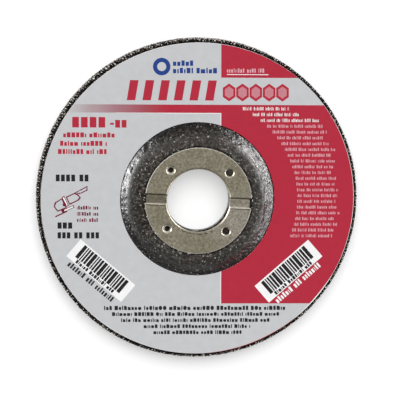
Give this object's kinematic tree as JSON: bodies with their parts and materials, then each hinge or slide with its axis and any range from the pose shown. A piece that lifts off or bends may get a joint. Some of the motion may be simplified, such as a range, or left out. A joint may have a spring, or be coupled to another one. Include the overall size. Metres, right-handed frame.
{
  "type": "depressed-centre grinding disc",
  "caption": "Resin-bonded grinding disc with a depressed centre, a pressed steel ring lining its bore, and a printed paper label on its back.",
  "frame": {"origin": "on the bore's axis, in the plane of the working face", "axes": "+Z along the bore to the back of the disc, where the hub stands proud and the label lies; +Y towards the top of the label"},
  "size_m": [0.1142, 0.1142, 0.011],
  "materials": {
    "abrasive": "coarse grain in dark resin",
    "ring_steel": "dull plated sheet",
    "label_paper": "printed, slightly glossy"
  },
  "bodies": {
    "root": {"abrasive_wheel": "abrasive", "centre_ring": "ring_steel", "paper_label": "label_paper"}
  },
  "joints": []
}
